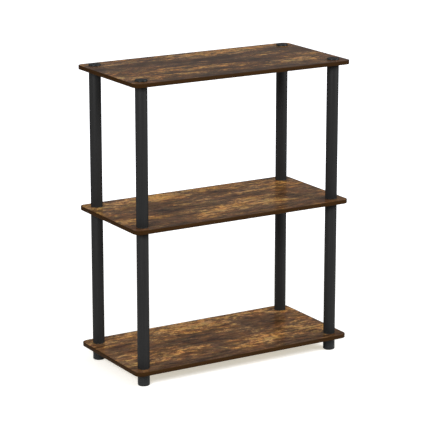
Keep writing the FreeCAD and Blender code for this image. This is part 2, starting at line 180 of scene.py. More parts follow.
class Bench:
    """The node tree of one material or of the world, and the calls that add nodes to it."""

    def __init__(self, tree: bpy.types.NodeTree) -> None:
        """Start from an empty tree."""
        self.tree = tree
        tree.nodes.clear()

    def node(
        self, kind: str, settings: dict | None = None, sockets: dict | None = None
    ) -> bpy.types.Node:
        """Add one node.

        Args:
            kind: The node's type.
            settings: Its properties, set before its sockets. The stops of a ramp are under "stops".
            sockets: Values, signals or sockets for its inputs, by name or by number.

        Returns:
            The node.
        """
        node = self.tree.nodes.new(kind)
        for name, value in (settings or {}).items():
            if name == "stops":
                self._set_stops(node.color_ramp, value)
            else:
                setattr(node, name, value)
        for name, value in (sockets or {}).items():
            self._feed(node.inputs[name], value)
        return node

    def _set_stops(self, ramp: bpy.types.ColorRamp, stops: Sequence[tuple[float, Triple]]) -> None:
        """Give a ramp its stops.

        Args:
            ramp: The ramp.
            stops: Each stop's place, 0 to 1, and its linear colour.
        """
        while len(ramp.elements) < len(stops):
            ramp.elements.new(1.0)
        for element, (place, colour) in zip(ramp.elements, stops):
            element.position = place
            element.color = (*colour, 1.0)

    def _feed(self, target: bpy.types.NodeSocket, value: object) -> None:
        """Link a signal or socket to an input, or set the input's own value.

        Args:
            target: The input.
            value: A signal, a socket, a number, or three numbers for a colour or a vector.
        """
        if isinstance(value, Signal):
            self.tree.links.new(value.socket, target)
        elif isinstance(value, bpy.types.NodeSocket):
            self.tree.links.new(value, target)
        elif isinstance(value, tuple) and target.type == "RGBA":
            target.default_value = (*value, 1.0)
        else:
            target.default_value = value

    def signal(self, kind: str, output: str, settings: dict, sockets: dict) -> Signal:
        """Add one node and wrap the output that is named."""
        return Signal(self, self.node(kind, settings, sockets).outputs[output])

    def math(self, operation: str, *values: "Signal | Number") -> Signal:
        """Add one Math node for an operation on signals and numbers."""
        sockets = dict(enumerate(values))
        return self.signal("ShaderNodeMath", "Value", {"operation": operation}, sockets)

    def vector(self, operation: str, *values: object) -> bpy.types.NodeSocket:
        """Add one Vector Math node and return its vector."""
        node = self.node("ShaderNodeVectorMath", {"operation": operation}, dict(enumerate(values)))
        return node.outputs["Vector"]

    def length_squared(self, vector: bpy.types.NodeSocket) -> Signal:
        """Return a vector's length, squared."""
        settings = {"operation": "DOT_PRODUCT"}
        return self.signal("ShaderNodeVectorMath", "Value", settings, {0: vector, 1: vector})

    def place(self) -> bpy.types.NodeSocket:
        """Return the place on the surface in the unit's own frame, in metres."""
        return self.node("ShaderNodeTexCoord").outputs["Object"]

    def facing(self) -> bpy.types.NodeSocket:
        """Return the surface's normal in the unit's own frame."""
        return self.node("ShaderNodeTexCoord").outputs["Normal"]

    def noise_node(self, place: bpy.types.NodeSocket, waves: Waves) -> bpy.types.Node:
        """Add the Noise Texture node of one layer.

        Args:
            place: Where the noise is read, in metres.
            waves: The layer.

        Returns:
            The node.
        """
        sockets = {
            "Vector": self.vector("MULTIPLY_ADD", place, waves.squeeze, waves.shift),
            "Scale": waves.per_metre,
            "Detail": waves.octaves,
            "Roughness": waves.rough,
        }
        return self.node("ShaderNodeTexNoise", {}, sockets)

    def noise(self, place: bpy.types.NodeSocket, waves: Waves) -> Signal:
        """Return a layer of noise, from about 0 to 1."""
        return Signal(self, self.noise_node(place, waves).outputs["Fac"])

    def mask(self, place: bpy.types.NodeSocket, waves: Waves) -> Signal:
        """Return a layer of noise, cut off below and above its span."""
        return self.noise(place, waves).rise(*waves.span)

    def ramp(self, factor: Signal, stops: Sequence[tuple[float, Triple]]) -> bpy.types.NodeSocket:
        """Return the colour that a ramp of stops gives for a factor."""
        return self.node("ShaderNodeValToRGB", {"stops": stops}, {"Fac": factor}).outputs["Color"]

    def blend(
        self, factor: Signal | Number, low: object, high: object, how: str = "MIX"
    ) -> bpy.types.NodeSocket:
        """Mix two colours by a factor.

        Args:
            factor: 0 for the first colour and 1 for the whole effect of the second.
            low, high: The colours, as sockets or linear values.
            how: Blender's name for the way they mix.

        Returns:
            The mixed colour.
        """
        settings = {"data_type": "RGBA", "blend_type": how}
        sockets = {"Factor": factor, MIX_LOW: low, MIX_HIGH: high}
        return self.node("ShaderNodeMix", settings, sockets).outputs[MIX_RESULT]

    def bump(self, height: Signal, depth: float) -> bpy.types.NodeSocket:
        """Return the normal of a surface that rises by depth metres where the height is 1."""
        sockets = {"Height": height, "Distance": depth, "Strength": 1.0}
        return self.node("ShaderNodeBump", {}, sockets).outputs["Normal"]

    def surface(self, sockets: dict) -> None:
        """End a material's tree in one surface with these sockets."""
        shader = self.node("ShaderNodeBsdfPrincipled", {}, sockets)
        self.node("ShaderNodeOutputMaterial", {}, {"Surface": shader.outputs["BSDF"]})


def new_material(name: str) -> tuple[bpy.types.Material, Bench]:
    """Make an empty material.

    Args:
        name: The material's name.

    Returns:
        The material and the bench for its nodes.
    """
    material = bpy.data.materials.new(name)
    material.use_nodes = True
    return material, Bench(material.node_tree)


@dataclass(frozen=True)
class Patch:
    """One lighter or darker patch of the print, in shares of a board's length and depth.

    The first two shares place its middle, from the board's left end and its front edge. The next
    two say how far it spreads.
    """

    along_share: float
    across_share: float
    length_share: float
    depth_share: float
    tone: float


# The printed sheet that all boards are cut from, as it lies on the bottom board.
PRINT_PATCHES = (
    Patch(0.38, 0.87, 0.14, 0.09, 0.34),
    Patch(0.56, 0.84, 0.10, 0.09, 0.36),
    Patch(0.20, 0.93, 0.10, 0.06, 0.08),
    Patch(0.02, 0.93, 0.06, 0.05, 0.16),
    Patch(0.47, 0.68, 0.16, 0.09, -0.20),
    Patch(0.11, 0.62, 0.09, 0.12, -0.16),
    Patch(0.44, 0.46, 0.17, 0.08, -0.26),
    Patch(0.61, 0.60, 0.09, 0.05, 0.16),
    Patch(0.30, 0.36, 0.13, 0.05, 0.32),
    Patch(0.07, 0.38, 0.07, 0.06, 0.02),
    Patch(0.27, 0.25, 0.08, 0.04, -0.20),
    Patch(0.17, 0.22, 0.12, 0.04, 0.18),
    Patch(0.70, 0.27, 0.08, 0.10, 0.25),
    Patch(0.56, 0.17, 0.06, 0.07, 0.19),
    Patch(0.50, 0.28, 0.06, 0.08, -0.14),
    Patch(0.79, 0.74, 0.14, 0.10, -0.09),
    Patch(0.84, 0.60, 0.08, 0.06, -0.20),
    Patch(0.93, 0.32, 0.07, 0.05, 0.26),
    Patch(0.86, 0.44, 0.07, 0.06, 0.16),
    Patch(0.91, 0.20, 0.08, 0.04, 0.22),
    Patch(0.94, 0.88, 0.06, 0.06, 0.16),
    Patch(0.40, 0.08, 0.24, 0.06, -0.06),
    # A long darker band along the front edge, on every board alike.
    Patch(0.66, 0.03, 0.74, 0.10, -0.22),
    Patch(0.76, 0.94, 0.24, 0.07, 0.22),
    Patch(1.06, 0.80, 0.10, 0.10, 0.06),
    Patch(1.12, 0.45, 0.12, 0.09, -0.20),
    Patch(1.05, 0.10, 0.10, 0.07, -0.12),
    Patch(-0.10, 0.30, 0.10, 0.06, 0.26),
    Patch(-0.12, 0.66, 0.10, 0.10, -0.16),
    Patch(-0.06, 0.90, 0.08, 0.06, 0.12),
)

# How far along the printed sheet each board is cut, in shares of a board's length.
SHEET_SHIFT_SHARES = {Level.BOTTOM: 0.0, Level.MIDDLE: 0.2, Level.TOP: -0.13}

# How much lighter each board is printed, or darker where the number is negative. This is partly the
# boards' own print and partly painted light and shade: the top board, which gets the most light, is
# printed darker, and the lower boards, which the boards above shade, are printed lighter.
PRINT_AND_SHADE_LIFTS = {Level.BOTTOM: 0.005, Level.MIDDLE: 0.05, Level.TOP: -0.088}


@dataclass(frozen=True)
class RusticPrint:
    """The wood print on a board: brown, with dark and golden streaks, patches and flecks.

    The tone goes from 0 in dark streaks to 1 in golden ones, and the inks give it its colour. A
    field named for tones holds the two tones between which something sets in.
    """

    length: float
    depth: float
    sheet_shift: float
    # How much lighter the whole print is: partly the board's own print, partly painted shade for
    # how much light the board gets.
    print_and_shade_lift: float
    smoke: Triple = linear(62, 41, 27)
    bark: Triple = linear(85, 60, 39)
    brown: Triple = linear(109, 79, 53)
    tan: Triple = linear(133, 96, 62)
    gold: Triple = linear(182, 132, 76)
    straw: Triple = linear(214, 163, 98)
    russet: Triple = linear(118, 72, 42)
    fleck: Triple = linear(38, 25, 16)
    faded: Triple = (0.89, 1.0, 1.22)
    rich: Triple = (1.11, 1.0, 0.80)
    olive: Triple = (0.96, 1.05, 0.96)
    mauve: Triple = (1.04, 0.95, 1.04)
    waver: Waves = Waves(22, 6, 0.7, (0.35, 1.0, 4.0))
    grain_waver: Triple = (0.02, 0.008, 0.0)
    sheet_waver: Triple = (0.06, 0.03, 0.0)
    broad: Waves = Waves(26, 3, 0.55, (0.3, 1.0, 1.0))
    mottle: Waves = Waves(75, 4, 0.65, (0.45, 1.0, 1.0))
    streak: Waves = Waves(170, 4, 0.7, (0.12, 1.0, 1.0))
    chips: Waves = Waves(130, 5, 0.75, (0.6, 1.0, 1.0), span=(0.38, 0.62))
    fading: Waves = Waves(24, 5, 0.72, (0.5, 1.0, 1.0), span=(0.36, 0.64))
    turning: Waves = Waves(45, 5, 0.72, (0.6, 1.0, 1.0), (3.0, 5.0, 0.0), (0.36, 0.64))
    reddening: Waves = Waves(45, 4, 0.7, (0.5, 1.0, 1.0), span=(0.52, 0.7))
    fibre: Waves = Waves(420, 4, 0.6, (0.05, 1.0, 1.0), span=(0.42, 0.7))
    cracks: Waves = Waves(210, 4, 0.8, (0.6, 1.0, 1.0), span=(0.53, 0.6))
    middle_tone: float = 0.55
    contrast: float = 0.85
    broad_strength: float = 1.3
    patch_strength: float = 1.4
    patch_fall: float = 0.9
    mottle_strength: float = 2.15
    streak_strength: float = 1.85
    dark_texture: float = 0.65
    light_texture_gain: float = 0.6
    light_texture_tones: tuple[float, float] = (0.35, 0.85)
    chip_strength: float = 0.6
    chip_tones: tuple[float, float] = (0.15, 0.75)
    russet_strength: float = 0.45
    fibre_strength: float = 0.4
    crack_strength: float = 0.8
    crack_tones: tuple[float, float] = (0.4, 0.7)
    gloss_rough: float = 0.15
    fibre_rough: float = 0.12
    crack_rough: float = 0.1
    specular: float = 0.06
    pore_depth: float = 0.06 * MM
    crack_depth_share: float = 0.6

    def material(self, name: str) -> bpy.types.Material:
        """Make the laminate's material for one board.

        Args:
            name: The material's name.

        Returns:
            The material.
        """
        material, bench = new_material(name)
        grain, sheet = self._sheet(bench)
        tone = self._tone(bench, grain, sheet)
        # The lift is partly painted light and shade, standing in for how much light this board
        # gets.
        inked = bench.ramp(self.contrast * tone + self.print_and_shade_lift, self._inks())
        red = bench.mask(sheet, self.reddening) * self.russet_strength
        colour = bench.blend(red, self._tinted(bench, sheet, inked), self.russet)
        fibre = bench.noise(grain, self.fibre)
        colour = bench.blend(fibre.rise(*self.fibre.span) * self.fibre_strength, colour, self.fleck)
        cracks = bench.mask(sheet, self.cracks) * tone.rise(*self.crack_tones) * self.crack_strength
        sockets = {
            "Base Color": bench.blend(cracks, colour, self.fleck),
            "Roughness": self.gloss_rough + self.fibre_rough * fibre + self.crack_rough * cracks,
            "Specular IOR Level": self.specular,
            "Normal": bench.bump(fibre + self.crack_depth_share * cracks, -self.pore_depth),
        }
        bench.surface(sockets)
        return material

    def _inks(self) -> tuple[tuple[float, Triple], ...]:
        """List the print's colours from its dark streaks to its palest flakes.

        Returns:
            Each colour's place on the ramp and its linear values.
        """
        return (
            (0.04, self.smoke),
            (0.22, self.bark),
            (0.40, self.brown),
            (0.58, self.tan),
            (0.80, self.gold),
            (1.00, self.straw),
        )

    def _sheet(self, bench: Bench) -> tuple[bpy.types.NodeSocket, bpy.types.NodeSocket]:
        """Find the place on the printed sheet, which wavers as wood does.

        Args:
            bench: The bench of the board's material.

        Returns:
            The place twice: nearly straight for the grain, and wavering more for the blotches.
        """
        shift = (self.sheet_shift * self.length, 0.0, 0.0)
        place = bench.vector("ADD", bench.place(), shift)
        waver = bench.noise_node(place, self.waver).outputs["Color"]
        swing = bench.vector("SUBTRACT", waver, (NOISE_MIDDLE,) * 3)
        grain = bench.vector("MULTIPLY_ADD", swing, self.grain_waver, place)
        return grain, bench.vector("MULTIPLY_ADD", swing, self.sheet_waver, place)

    def _tone(
        self, bench: Bench, grain: bpy.types.NodeSocket, sheet: bpy.types.NodeSocket
    ) -> Signal:
        """Work out how light the print is: broad clouds, then patches, then texture and chips.

        Args:
            bench: The bench of the board's material.
            grain: The place on the printed sheet for what follows the grain.
            sheet: The place on the printed sheet for blotches.

        Returns:
            The tone.
        """
        tone = self.middle_tone + self.broad_strength * bench.noise(sheet, self.broad).swing()
        for patch in PRINT_PATCHES:
            tone = tone + self._patch(bench, sheet, patch)
        mottle = self.mottle_strength * bench.noise(sheet, self.mottle).swing()
        streak = self.streak_strength * bench.noise(grain, self.streak).swing()
        gain = self.light_texture_gain * tone.rise(*self.light_texture_tones)
        tone = tone + (mottle + streak) * (self.dark_texture + gain)
        chips = self.chip_strength * bench.mask(sheet, self.chips).swing()
        return tone + chips * tone.rise(*self.chip_tones)

    def _patch(self, bench: Bench, sheet: bpy.types.NodeSocket, patch: Patch) -> Signal:
        """Work out what one patch adds to the tone.

        Args:
            bench: The bench of the board's material.
            sheet: The place on the printed sheet.
            patch: The patch.

        Returns:
            The patch's tone, which falls off from its middle.
        """
        along = (patch.along_share - 0.5) * self.length
        across = (patch.across_share - 0.5) * self.depth
        spread = (1 / (patch.length_share * self.length), 1 / (patch.depth_share * self.depth), 0.0)
        away = bench.vector("SUBTRACT", sheet, (along, across, 0.0))
        away = bench.vector("MULTIPLY", away, spread)
        fall = bench.math("EXPONENT", -self.patch_fall * bench.length_squared(away))
        return self.patch_strength * patch.tone * fall

    def _tinted(
        self, bench: Bench, sheet: bpy.types.NodeSocket, colour: bpy.types.NodeSocket
    ) -> bpy.types.NodeSocket:
        """Fade or enrich a colour in clouds, and turn it a little to green or red in others.

        Args:
            bench: The bench of the board's material.
            sheet: The place on the printed sheet.
            colour: The inks' colour.

        Returns:
            The tinted colour.
        """
        fading = bench.blend(bench.mask(sheet, self.fading), self.faded, self.rich)
        turning = bench.blend(bench.mask(sheet, self.turning), self.olive, self.mauve)
        return bench.blend(1.0, bench.blend(1.0, colour, fading, "MULTIPLY"), turning, "MULTIPLY")


@dataclass(frozen=True)
class EdgeBand:
    """Plain brown plastic edging with faint streaks along it."""

    brown: Triple = linear(53, 33, 11)
    dark: Triple = linear(44, 26, 8)
    streaks: Waves = Waves(12, 3, 0.6, (1.0, 1.0, 30.0), span=(0.35, 0.7))
    grain: Waves = Waves(2400)
    rough: float = 0.44
    grain_rough: float = 0.1
    specular: float = 0.05
    grain_depth: float = 0.01 * MM

    def material(self, name: str) -> bpy.types.Material:
        """Make the edging's material.

        Args:
            name: The material's name.

        Returns:
            The material.
        """
        material, bench = new_material(name)
        place = bench.place()
        grain = bench.noise(place, self.grain)
        sockets = {
            "Base Color": bench.blend(bench.mask(place, self.streaks), self.brown, self.dark),
            "Roughness": self.rough + self.grain_rough * grain,
            "Specular IOR Level": self.specular,
            "Normal": bench.bump(grain, self.grain_depth),
        }
        bench.surface(sockets)
        return material


@dataclass(frozen=True)
class SatinBlack:
    """Satin black tube, with the faint lines that drawing and painting leave along it as fine
    ridges and rougher stripes. The lines are also paler in colour, which is a painted sheen for the
    highlight bands that reflections make along a tube.

    The lines are read from the way that the surface faces, and wander a little with the height.
    """

    black: Triple = (0.0155, 0.0155, 0.0155)
    painted_sheen: Triple = (0.0205, 0.0205, 0.0205)
    around: Triple = (1.0, 1.0, 0.0)
    wander: Triple = (0.0, 0.0, 0.6)
    lines: Waves = Waves(16, 3, 0.6, span=(0.3, 0.7))
    grain: Waves = Waves(1500)
    rough: float = 0.46
    line_rough: float = 0.1
    grain_rough: float = 0.04
    specular: float = 0.12
    line_depth: float = 0.04 * MM
    grain_depth_share: float = 0.1

    def material(self, name: str) -> bpy.types.Material:
        """Make the tube's material.

        Args:
            name: The material's name.

        Returns:
            The material.
        """
        material, bench = new_material(name)
        around = bench.vector("MULTIPLY", bench.facing(), self.around)
        along = bench.vector("MULTIPLY", bench.place(), self.wander)
        lines = bench.noise(bench.vector("ADD", around, along), self.lines)
        grain = bench.noise(bench.place(), self.grain)
        sockets = {
            # The paler colour of the lines is a painted sheen, standing in for reflection bands.
            "Base Color": bench.blend(lines.rise(*self.lines.span), self.black, self.painted_sheen),
            "Roughness": self.rough + self.line_rough * lines + self.grain_rough * grain,
            "Specular IOR Level": self.specular,
            "Normal": bench.bump(lines + self.grain_depth_share * grain, self.line_depth),
        }
        bench.surface(sockets)
        return material


@dataclass(frozen=True)
class MouldedBlack:
    """Black moulded plastic with a fine spark-eroded grain.

    The colour goes from black to a paler black, partly with soft clouds and partly with the grain.
    """

    black: Triple = (0.007, 0.0075, 0.0075)
    pale_gain: float = 3.0
    clouds: Waves = Waves(60)
    cloud_share: float = 0.3
    grain: Waves = Waves(480, 4, 0.7, span=(0.42, 0.62))
    grain_share: float = 0.7
    grain_depth: float = 0.2 * MM
    rough: float = 0.5
    grain_rough: float = 0.3
    specular: float = 0.3

    def material(self, name: str) -> bpy.types.Material:
        """Make the moulding's material.

        Args:
            name: The material's name.

        Returns:
            The material.
        """
        material, bench = new_material(name)
        place = bench.place()
        grain = bench.noise(place, self.grain)
        clouds = self.cloud_share * bench.noise(place, self.clouds)
        paleness = clouds + self.grain_share * grain.rise(*self.grain.span)
        pale = tuple(self.pale_gain * part for part in self.black)
        sockets = {
            "Base Color": bench.blend(paleness, self.black, pale),
            "Roughness": self.rough + self.grain_rough * grain.swing(),
            "Specular IOR Level": self.specular,
            "Normal": bench.bump(grain, self.grain_depth),
        }
        bench.surface(sockets)
        return material


FOOT_BLACK = MouldedBlack()
INSERT_BLACK = MouldedBlack(rough=0.45)
CAP_BLACK = MouldedBlack(black=(0.006, 0.0068, 0.0074), grain_depth=0.08 * MM, rough=0.42)


@dataclass
class Skin:
    """The points and faces of one piece, gathered before they become a mesh."""

    points: list[Vector] = field(default_factory=list)
    faces: list[tuple[int, ...]] = field(default_factory=list)

    def strip(self, rings: Sequence[Sequence[Vector]], closed: bool = False) -> None:
        """Join a run of rings, each with as many points, by four-sided faces.

        Args:
            rings: The rings, in order.
            closed: Whether the last ring joins the first.
        """
        first = len(self.points)
        count = len(rings[0])
        for ring in rings:
            self.points.extend(ring)
        runs = len(rings) if closed else len(rings) - 1
        for run in range(runs):
            low = first + run * count
            high = first + (run + 1) % len(rings) * count
            for step in range(count):
                after = (step + 1) % count
                self.faces.append((low + step, low + after, high + after, high + step))

    def close(self, ring: Sequence[Vector], turned: bool = False) -> None:
        """Fill a ring with one flat face.

        Args:
            ring: The ring's points, in order.
            turned: Whether the face is turned over.
        """
        first = len(self.points)
        self.points.extend(ring)
        face = tuple(range(first, first + len(ring)))
        self.faces.append(face[::-1] if turned else face)

    def piece(self, name: str, material: bpy.types.Material) -> bpy.types.Object:
        """Make the piece, shaded smooth except over its creases.

        Args:
            name: The piece's name.
            material: Its finish.

        Returns:
            The piece, linked to the scene.
        """
        mesh = bpy.data.meshes.new(name)
        mesh.from_pydata([tuple(point) for point in self.points], [], self.faces)
        weld(mesh)
        mesh.materials.append(material)
        mesh.shade_smooth()
        mesh.set_sharp_from_angle(angle=math.radians(CREASE_DEGREES))
        piece = bpy.data.objects.new(name, mesh)
        bpy.context.scene.collection.objects.link(piece)
        return piece


def weld(mesh: bpy.types.Mesh) -> None:
    """Join points that lie on each other, and turn all faces outwards.

    Args:
        mesh: The mesh, which is changed.
    """
    work = bmesh.new()
    work.from_mesh(mesh)
    bmesh.ops.remove_doubles(work, verts=work.verts, dist=WELD_DISTANCE)
    bmesh.ops.recalc_face_normals(work, faces=work.faces)
    work.to_mesh(mesh)
    work.free()


def eased(
    corners: Sequence[tuple[float, ...]], steps: int, closed: bool = False
) -> list[tuple[float, float]]:
    """Round the corners of a run of straight lines.

    Args:
        corners: Each corner as (x, y), or (x, y, radius) where it is rounded.
        steps: How many straight steps an arc is made of.
        closed: Whether the last corner joins the first.

    Returns:
        The points of the run.
    """
    points = []
    for number, corner in enumerate(corners):
        here = Vector(corner[:2])
        if len(corner) == 2 or (not closed and number in (0, len(corners) - 1)):
            points.append(tuple(here))
            continue
        before = (Vector(corners[number - 1][:2]) - here).normalized()
        after = (Vector(corners[(number + 1) % len(corners)][:2]) - here).normalized()
        half = before.angle(after) / 2
        reach = corner[2] / math.tan(half)
        middle = here + (before + after).normalized() * corner[2] / math.sin(half)
        start = here + before * reach - middle
        end = here + after * reach - middle
        turn = start.angle_signed(end)
        for step in range(steps + 1):
            angle = -turn * step / steps
            arm = Vector((
                start.x * math.cos(angle) - start.y * math.sin(angle),
                start.x * math.sin(angle) + start.y * math.cos(angle),
            ))
            points.append(tuple(middle + arm))
    return points


@dataclass(frozen=True)
class Thread:
    """A coarse moulded screw thread on a stud or in a socket, with flat crests and roots.

    Its cut follows a triangle wave, which the gain makes steeper and the drop lowers before it is
    clipped flat on both sides. A negative depth cuts outwards, as in a socket.
    """

    low: float
    high: float
    pitch: float = 3.0 * MM
    depth: float = 0.5 * MM
    run_out: float = 1.5 * MM
    steps_a_turn: int = 8
    wave_gain: float = 2.2
    wave_drop: float = 0.6

    def heights(self) -> list[float]:
        """List the heights at which the thread's rings lie, from low to high."""
        count = round((self.high - self.low) / self.pitch * self.steps_a_turn)
        return [self.low + (self.high - self.low) * step / count for step in range(count + 1)]

    def sink(self, height: float, angle: float) -> float:
        """Work out how deep the thread is cut at one place.

        Args:
            height: The place's height.
            angle: Its angle round the axis, in radians.

        Returns:
            The depth, which runs out to 0 towards both ends of the thread.
        """
        turn = (height / self.pitch - angle / math.tau) % 1.0
        wave = 1.0 - 2.0 * abs(turn - 0.5)
        cut = min(1.0, max(0.0, self.wave_gain * wave - self.wave_drop))
        edge = min(height - self.low, self.high - height) / self.run_out
        return self.depth * cut * min(1.0, max(0.0, edge))


@dataclass
class Lathe:
    """Turns sections round one upright axis, as moulded and drawn parts are."""

    x: float
    y: float
    steps: int = 96

    def turn(
        self,
        skin: Skin,
        section: Sequence[tuple[float, float]],
        closed: bool = False,
        thread: Thread | None = None,
    ) -> None:
        """Turn a section of (radius, height) points.

        Args:
            skin: Where the faces go.
            section: The section's points, with heights from the floor.
            closed: Whether the section is a closed loop, as a tube's is.
            thread: A thread that is cut into the part of the section within its heights.
        """
        rings = []
        for radius, height in section:
            ring = []
            for step in range(self.steps):
                angle = math.tau * step / self.steps
                reach = radius
                if thread and radius > 0 and thread.low < height < thread.high:
                    reach = radius - thread.sink(height, angle)
                along, across = reach * math.cos(angle), reach * math.sin(angle)
                ring.append(Vector((self.x + along, self.y + across, height)))
            rings.append(ring)
        skin.strip(rings, closed)

    def slab(
        self, skin: Skin, outline: Sequence[tuple[float, float]], thickness: float, degrees: float
    ) -> None:
        """Add an upright plate on a plane through the axis.

        Args:
            skin: Where the faces go.
            outline: The plate's corners as (distance from the axis, height).
            thickness: The plate's thickness.
            degrees: How far the plate's plane is turned round the axis.
        """
        out = Vector((math.cos(math.radians(degrees)), math.sin(math.radians(degrees)), 0))
        side = Vector((-out.y, out.x, 0)) * thickness / 2
        axis = Vector((self.x, self.y, 0))
        rings = [
            [axis + out * reach + Vector((0, 0, height)) + way * side for reach, height in outline]
            for way in (-1, 1)
        ]
        skin.strip(rings)
        skin.close(rings[0])
        skin.close(rings[1], turned=True)


@dataclass
class Shelf:
    """One board with the edging round it."""

    level: Level
    laminate: bpy.types.Material
    brown_plastic: bpy.types.Material
    edge_round: float = 0.8 * MM
    fit: float = 0.1 * MM
    seam: float = 0.4 * MM
    core_corner_radius: float = 16.0 * MM
    tongue_length: float = 6.0 * MM
    tongue_thickness: float = 1.4 * MM
    barb_height: float = 0.1 * MM
    barb_count: int = 3
    edge_steps: int = 5
    corner_steps: int = 16

    def build(self) -> Iterable[bpy.types.Object]:
        """Dress the board and make its edging."""
        yield self._board()
        yield self._edging()

    def _board(self) -> bpy.types.Object:
        """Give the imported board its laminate.

        Returns:
            The board.
        """
        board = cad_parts[f"{self.level.value}_board"]
        dress(board, self.laminate)
        return board

    def _section(self, reach: float, thickness: float) -> list[tuple[float, float]]:
        """List the edging's section as (distance out of the core, height over its underside).

        Args:
            reach: How far the edging stands out of the core.
            thickness: The edging's height.

        Returns:
            The section's points: the flat face with its rounded edges, then the back with its
            barbed tongue.
        """
        middle = thickness / 2
        half_tongue = self.tongue_thickness / 2
        barb = self.tongue_length / (self.barb_count + 1)
        upper = [(self.fit, half_tongue)]
        for number in range(1, self.barb_count + 1):
            peak = self.fit - barb * number
            upper.append((peak, half_tongue + self.barb_height))
            upper.append((peak - barb / 2, half_tongue - self.barb_height))
        upper.append((self.fit - self.tongue_length, half_tongue / 2))
        corners = [
            (self.fit, 0.0),
            (reach, 0.0, self.edge_round),
            (reach, thickness, self.edge_round),
            (self.fit, thickness),
        ]
        corners.extend((out, middle + up) for out, up in upper)
        corners.extend((out, middle - up) for out, up in reversed(upper))
        return eased(corners, steps=self.edge_steps, closed=True)

    def _path(self, half_length: float, half_depth: float) -> list[tuple[Vector, Vector]]:
        """List places round the core's edge, each with the way that points out of the core.

        Args:
            half_length, half_depth: Half the core's length and depth.

        Returns:
            The places, from one side of the seam at the rear round to the other.
        """
        rear = Vector((0, 1, 0))
        places = [(Vector((-self.seam / 2, half_depth, 0)), rear)]
        radius = self.core_corner_radius
        inner = Vector((half_length - radius, half_depth - radius, 0))
        for quarter, (way_x, way_y) in enumerate(((-1, 1), (-1, -1), (1, -1), (1, 1))):
            middle = Vector((way_x * inner.x, way_y * inner.y, 0))
            for step in range(self.corner_steps + 1):
                angle = math.pi / 2 * (1 + quarter + step / self.corner_steps)
                out = Vector((math.cos(angle), math.sin(angle), 0))
                places.append((middle + out * radius, out))
        places.append((Vector((self.seam / 2, half_depth, 0)), rear))
        return places

    def _edging(self) -> bpy.types.Object:
        """Make the edging: one flat-faced strip with a barbed tongue, butted at the rear.

        Returns:
            The edging.
        """
        node = f"{self.level.value}_edging"
        low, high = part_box(node)
        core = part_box(f"{self.level.value}_board")[1]
        section = self._section(high.x - core.x, high.z - low.z)
        up = Vector((0, 0, 1))
        rings = [
            [place + out * reach + up * (low.z + height) for reach, height in section]
            for place, out in self._path(core.x, core.y)
        ]
        skin = Skin()
        skin.strip(rings)
        skin.close(rings[0])
        skin.close(rings[-1], turned=True)
        return stand_in(skin.piece(f"{node}_fine", self.brown_plastic), node)


@dataclass
class Blacks:
    """The finishes of a post's pieces."""

    tube: bpy.types.Material
    foot: bpy.types.Material
    insert: bpy.types.Material
    cap: bpy.types.Material


